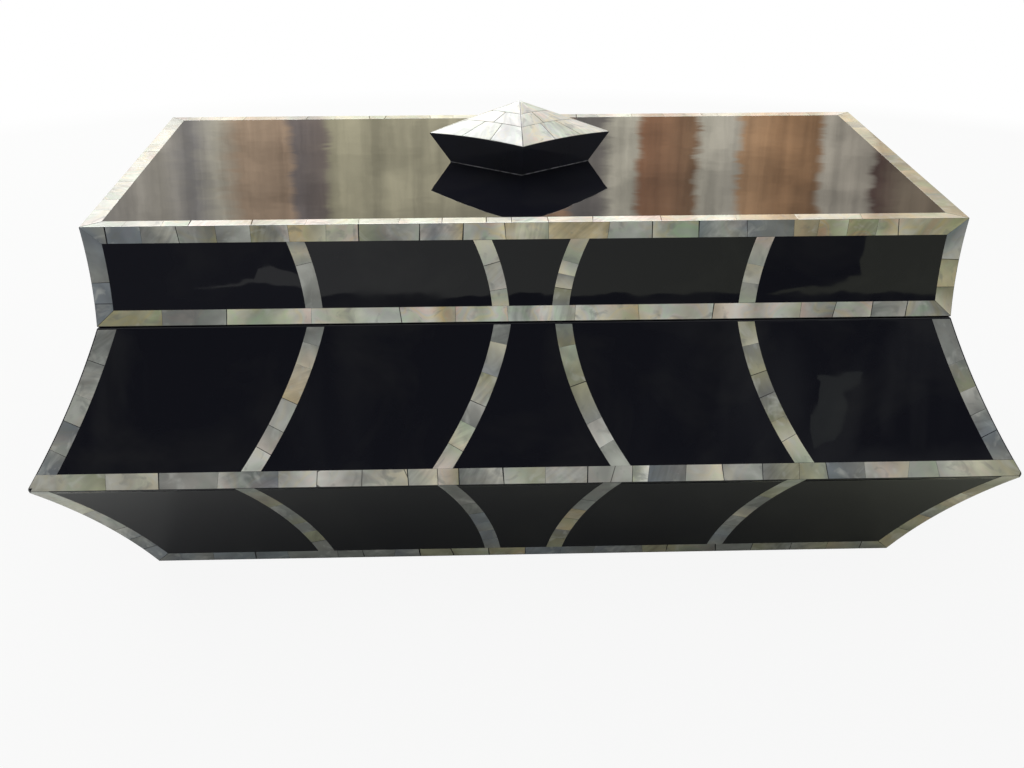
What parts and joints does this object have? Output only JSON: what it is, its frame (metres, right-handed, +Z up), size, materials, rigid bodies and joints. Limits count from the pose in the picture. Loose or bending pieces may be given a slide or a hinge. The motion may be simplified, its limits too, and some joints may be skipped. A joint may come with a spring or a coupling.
{
  "type": "lidded box",
  "caption": "Long keepsake box with hollow flared sides, a hinged lid, a pyramid knob and shell strips inlaid in black lacquer.",
  "frame": {"origin": "middle of the underside, on the surface that the box stands on", "axes": "+X along the box's length to the right, -Y to the front, +Z up; the lid's hinge runs along X at the back"},
  "size_m": [0.3694, 0.2194, 0.1708],
  "materials": {
    "black_lacquer": "mirror-gloss black lacquer over board",
    "shell": "polished mother-of-pearl tiles in short lengths, under clear gloss",
    "velvet": "black velvet over card",
    "felt": "black felt",
    "brass": "polished",
    "steel": "zinc plated"
  },
  "bodies": {
    "base": {"base_wall_front": "black_lacquer", "shell_flare_front": "shell", "shell_foot_front": "shell", "base_lining_front": "velvet", "base_wall_right": "black_lacquer", "shell_flare_right": "shell", "shell_foot_right": "shell", "base_lining_right": "velvet", "base_wall_back": "black_lacquer", "shell_flare_back": "shell", "shell_foot_back": "shell", "base_lining_back": "velvet", "base_wall_left": "black_lacquer", "shell_flare_left": "shell", "shell_foot_left": "shell", "base_lining_left": "velvet", "base_floor": "black_lacquer", "base_lining_floor": "velvet", "base_felt": "felt", "hinge_left_base_leaf": "brass", "hinge_left_base_screw_1": "brass", "hinge_left_base_screw_2": "brass", "hinge_left_pin": "brass", "hinge_right_base_leaf": "brass", "hinge_right_base_screw_1": "brass", "hinge_right_base_screw_2": "brass", "hinge_right_pin": "brass"},
    "lid": {"lid_wall_front": "black_lacquer", "shell_lid_front": "shell", "shell_top_front": "shell", "lid_lining_front": "velvet", "lid_wall_right": "black_lacquer", "shell_lid_right": "shell", "shell_top_right": "shell", "lid_lining_right": "velvet", "lid_wall_back": "black_lacquer", "shell_lid_back": "shell", "shell_top_back": "shell", "lid_lining_back": "velvet", "lid_wall_left": "black_lacquer", "shell_lid_left": "shell", "shell_top_left": "shell", "lid_lining_left": "velvet", "lid_panel": "black_lacquer", "lid_lining_top": "velvet", "knob_core": "black_lacquer", "knob_facet_front_left": "shell", "knob_facet_front_right": "shell", "knob_facet_back_left": "shell", "knob_facet_back_right": "shell", "knob_insert": "brass", "knob_washer": "steel", "knob_screw": "steel", "hinge_left_lid_leaf": "brass", "hinge_left_lid_screw_1": "brass", "hinge_left_lid_screw_2": "brass", "hinge_right_lid_leaf": "brass", "hinge_right_lid_screw_1": "brass", "hinge_right_lid_screw_2": "brass"}
  },
  "joints": [
    {"name": "lid_hinge", "type": "hinge", "parent": "base", "child": "lid", "pos_m": [0, 0.0862, 0.1066], "axis": [-1, 0, 0], "range_deg": [0, 95]}
  ]
}
